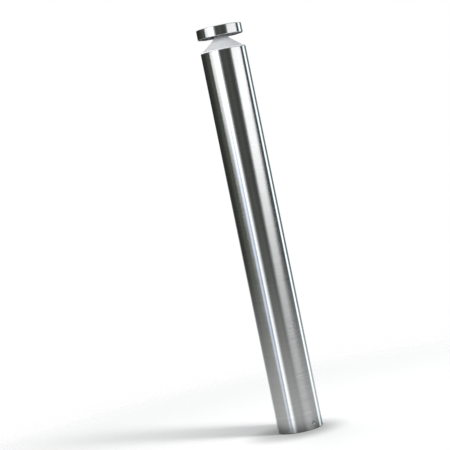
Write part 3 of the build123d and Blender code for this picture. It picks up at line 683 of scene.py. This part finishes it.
def set_screw_rings():
    """A set screw as rings of (radius, place along it) points, from its socket's floor to its cup's rim."""
    half = SET_SCREW_LENGTH / 2
    angles = circle(SET_SCREW_TURNS)
    sixth = math.pi / 3
    hexagon = [SOCKET_HALF_WIDTH / math.cos(a % sixth - sixth / 2) for a in angles]
    rings = [[(r, half - SOCKET_DEPTH) for r in hexagon], [(r, half) for r in hexagon]]
    steps = round(SET_SCREW_LENGTH / THREAD_PITCH * RINGS_PER_PITCH)
    for step in range(steps + 1):
        along = half - SET_SCREW_LENGTH * step / steps
        chamfer_radius = SET_SCREW_RADIUS - SET_SCREW_CHAMFER + half - abs(along)
        rings.append([(min(thread_radius(along, a), chamfer_radius), along) for a in angles])
    rings.append([(CUP_RADIUS, -half)] * SET_SCREW_TURNS)
    return rings


def set_screws():
    """Threaded set screws in place of the plain CAD ones, on the same axes and with the same ends."""
    rings = set_screw_rings()
    for name in SET_SCREWS:
        low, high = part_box(name)
        middle = (low + high) / 2
        outward = Vector((middle.x, middle.y, 0.0)).normalized()
        aside = UP.cross(outward)
        verts = []
        for ring in rings:
            for (radius, along), angle in zip(ring, circle(SET_SCREW_TURNS)):
                across = aside * radius * math.cos(angle) + UP * radius * math.sin(angle)
                verts.append(middle + outward * along + across)
        faces = ring_faces(0, len(rings), SET_SCREW_TURNS)
        socket_tip = len(verts)
        cup_tip = socket_tip + 1
        verts.append(middle + outward * (SET_SCREW_LENGTH / 2 - SOCKET_DEPTH - CUP_DEPTH))
        verts.append(middle - outward * (SET_SCREW_LENGTH / 2 - CUP_DEPTH))
        last = socket_tip - SET_SCREW_TURNS
        for turn in range(SET_SCREW_TURNS):
            after = (turn + 1) % SET_SCREW_TURNS
            faces.append((socket_tip, turn, after))
            faces.append((last + turn, cup_tip, last + after))
        screw = new_object(f"{name}_threaded", verts, faces, LOOKS["zinc_steel"])
        screw.data.set_sharp_from_angle(angle=math.radians(SHARP_ANGLE_DEG))
        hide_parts(name)
        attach(screw, name)


# Studio


def soft_box(n, turn, height, left, right, glow, lean=(0.0, 0.0), low=UNDER, high=OVER, edge=(4.0, 4.0)):
    """A soft box in the dark studio. left and right are its edges in degrees round the post at eye level.

    lean moves each edge by that many degrees for each degree of height. The box fades in between the two low
    heights and out between the two high ones. edge is how far its left and right edges fade to either side.
    """
    rise = n.math("MINIMUM", n.math("MAXIMUM", height, LEAN_HEIGHTS[0]), LEAN_HEIGHTS[1])
    left_edge = n.math("ADD", n.math("MULTIPLY", rise, lean[0]), left)
    right_edge = n.math("ADD", n.math("MULTIPLY", rise, lean[1]), right)
    past_left = n.smooth(n.math("SUBTRACT", turn, left_edge), -edge[0], edge[0])
    short_of_right = n.smooth(n.math("SUBTRACT", right_edge, turn), -edge[1], edge[1])
    upright = n.math("MULTIPLY", n.smooth(height, *low), n.smooth(height, *high, 1.0, 0.0))
    mask = n.math("MULTIPLY", n.math("MULTIPLY", past_left, short_of_right), upright)
    return n.times(mask, glow)


def mirrored_studio(n, turn, height):
    """A dark room with tall soft boxes and a pale ceiling, for mirrored rays."""
    stops = [((degrees + 180) / 360, colour) for degrees, colour in ROOM]
    glow = n.ramp(n.span(turn, -180.0, 180.0), stops).outputs[0]
    for box in SOFT_BOXES:
        glow = n.mix(1.0, glow, soft_box(n, turn, height, **box), "ADD")
    return n.mix(n.smooth(height, *CEILING_FADE), glow, CEILING)


def even_studio(n, x, height):
    """An even light that is brighter from the left and weaker from above and below, for matt surfaces."""
    even = n.mix(n.smooth(x, *EVEN_FADE), EVEN_LIGHT[0], EVEN_LIGHT[1])
    even = n.times(even, n.smooth(height, *SKY_FADE, 1.0, SKY_SHARE))
    return n.times(even, n.smooth(height, *GROUND_FADE, GROUND_SHARE, 1.0))


def studio_world():
    """White to the camera, an even light to matt surfaces, and to everything else the mirrored studio."""
    world = bpy.data.worlds.new("studio")
    bpy.context.scene.world = world
    world.use_nodes = True
    n = Nodes(world.node_tree)
    x, y, z = split(n, n.add("TexCoord").outputs["Generated"])
    turn = n.math("MULTIPLY", n.math("ARCTAN2", x, n.math("MULTIPLY", y, -1.0)), DEGREE)
    height = n.math("MULTIPLY", n.math("ARCSINE", z), DEGREE)
    mirrored = mirrored_studio(n, turn, height)
    even = even_studio(n, x, height)
    path = n.add("LightPath")
    seen = n.mix(path.outputs["Is Diffuse Ray"], mirrored, even)
    seen = n.mix(path.outputs["Is Camera Ray"], seen, WHITE)
    shown = n.add("Background", {0: seen, 1: 1.0})
    n.add("OutputWorld", {0: shown})


def floor_look():
    """Pale paper with a soft shadow painted at the post's foot, fading out with distance. Mirrored rays see
    a pool of light on it instead.
    """
    mat, n, shader = material("floor")
    tone = n.mix(n.noise(place(n), scale=220.0), *FLOOR_TONES)
    # Painted shadow: the floor's colour darkens near the post's foot
    painted_shadow = n.smooth(distance_from(n, PAINTED_SHADOW_CENTRE), *PAINTED_SHADOW_SPAN, PAINTED_SHADOW_SHARE, 1.0)
    n.put(shader, "Base Color", n.times(tone, painted_shadow))
    n.put(shader, "Roughness", FLOOR_ROUGHNESS)
    n.put(shader, "Specular IOR Level", 0.0)
    clear = n.add("BsdfTransparent")
    distance = distance_from(n, FOOT_CENTRE)
    seen = n.add("MixShader", {0: n.smooth(distance, *FLOOR_FADE), 1: shader, 2: clear})

    spread = n.math("DIVIDE", distance, POOL_SPREAD)
    pool = n.math("DIVIDE", POOL_GLOW, n.math("ADD", n.math("MULTIPLY", spread, spread), 1.0))
    foot = n.smooth(distance, *FOOT_SHADE, FOOT_SHARE, 1.0)
    lit = n.add("Emission", {0: WHITE, 1: n.math("MULTIPLY", pool, foot)})
    strip = n.smooth(distance_from(n, STRIP_CENTRE), *STRIP_SHADE, STRIP_SHARE, 1.0)
    mirrored = n.add("AddShader", {0: lit, 1: n.add("BsdfTransparent", {0: strip})})

    to_mirror = n.add("LightPath").outputs["Is Glossy Ray"]
    from_below = n.add("NewGeometry").outputs["Backfacing"]
    top = n.add("MixShader", {0: to_mirror, 1: seen, 2: mirrored})
    output = next(node for node in n.tree.nodes if node.type == "OUTPUT_MATERIAL")
    n.put(output, 0, n.add("MixShader", {0: from_below, 1: top, 2: clear}))
    return mat


def studio_floor():
    """A round floor, which the camera sees fade into the white backdrop."""
    verts = [(0.0, 0.0, 0.0)]
    verts += [(FLOOR_RADIUS * math.cos(a), FLOOR_RADIUS * math.sin(a), 0.0) for a in circle(FLOOR_TURNS)]
    faces = [(0, 1 + turn, 1 + (turn + 1) % FLOOR_TURNS) for turn in range(FLOOR_TURNS)]
    floor = new_object("floor", verts, faces, floor_look())
    return floor


def soft_light(name, lit, turn, rise, width, height, watts):
    """A soft box aimed at the post's foot from a turn and a rise in degrees, for the objects in lit only."""
    data = bpy.data.lights.new(name, "AREA")
    data.shape = "RECTANGLE"
    data.size = width
    data.size_y = height
    data.energy = watts
    light = bpy.data.objects.new(name, data)
    bpy.context.scene.collection.objects.link(light)
    turn = math.radians(turn)
    rise = math.radians(rise)
    level = LIGHT_DISTANCE * math.cos(rise)
    light.location = (level * math.sin(turn), -level * math.cos(turn), LIGHT_DISTANCE * math.sin(rise))
    light.rotation_mode = "QUATERNION"
    light.rotation_quaternion = (-light.location).to_track_quat("-Z", "Y")
    light.visible_glossy = False
    light.light_linking.receiver_collection = lit


def studio_lights(floor):
    """Overhead soft boxes that lift the floor to white and leave a soft shadow at the foot."""
    lit = bpy.data.collections.new("lit_floor")
    lit.objects.link(floor)
    for name, settings in FLOOR_LIGHTS.items():
        soft_light(name, lit, **settings)


def camera():
    """Looks at the post from the height of its upper half, rolled so that the post leans to the left."""
    data = bpy.data.cameras.new("camera")
    data.lens = CAMERA_LENS_MM
    data.sensor_width = SENSOR_MM
    data.clip_start = CAMERA_CLIP_START
    eye = bpy.data.objects.new("camera", data)
    bpy.context.scene.collection.objects.link(eye)
    eye.location = (0.0, -CAMERA_DISTANCE, CAMERA_HEIGHT)
    eye.rotation_mode = "QUATERNION"
    yaw = math.radians(-CAMERA_YAW_DEG)
    pitch = math.radians(90 + CAMERA_PITCH_DEG)
    roll = math.radians(CAMERA_ROLL_DEG)
    aim = Euler((pitch, 0.0, yaw)).to_quaternion()
    eye.rotation_quaternion = aim @ Quaternion((0.0, 0.0, 1.0), roll)
    bpy.context.scene.camera = eye


def plain_colours():
    """Shows white as white."""
    bpy.context.scene.view_settings.view_transform = "Standard"
    bpy.context.scene.view_settings.look = "None"


dress_cad()
phosphor_domes()
set_screws()
studio_world()
studio_lights(studio_floor())
camera()
plain_colours()
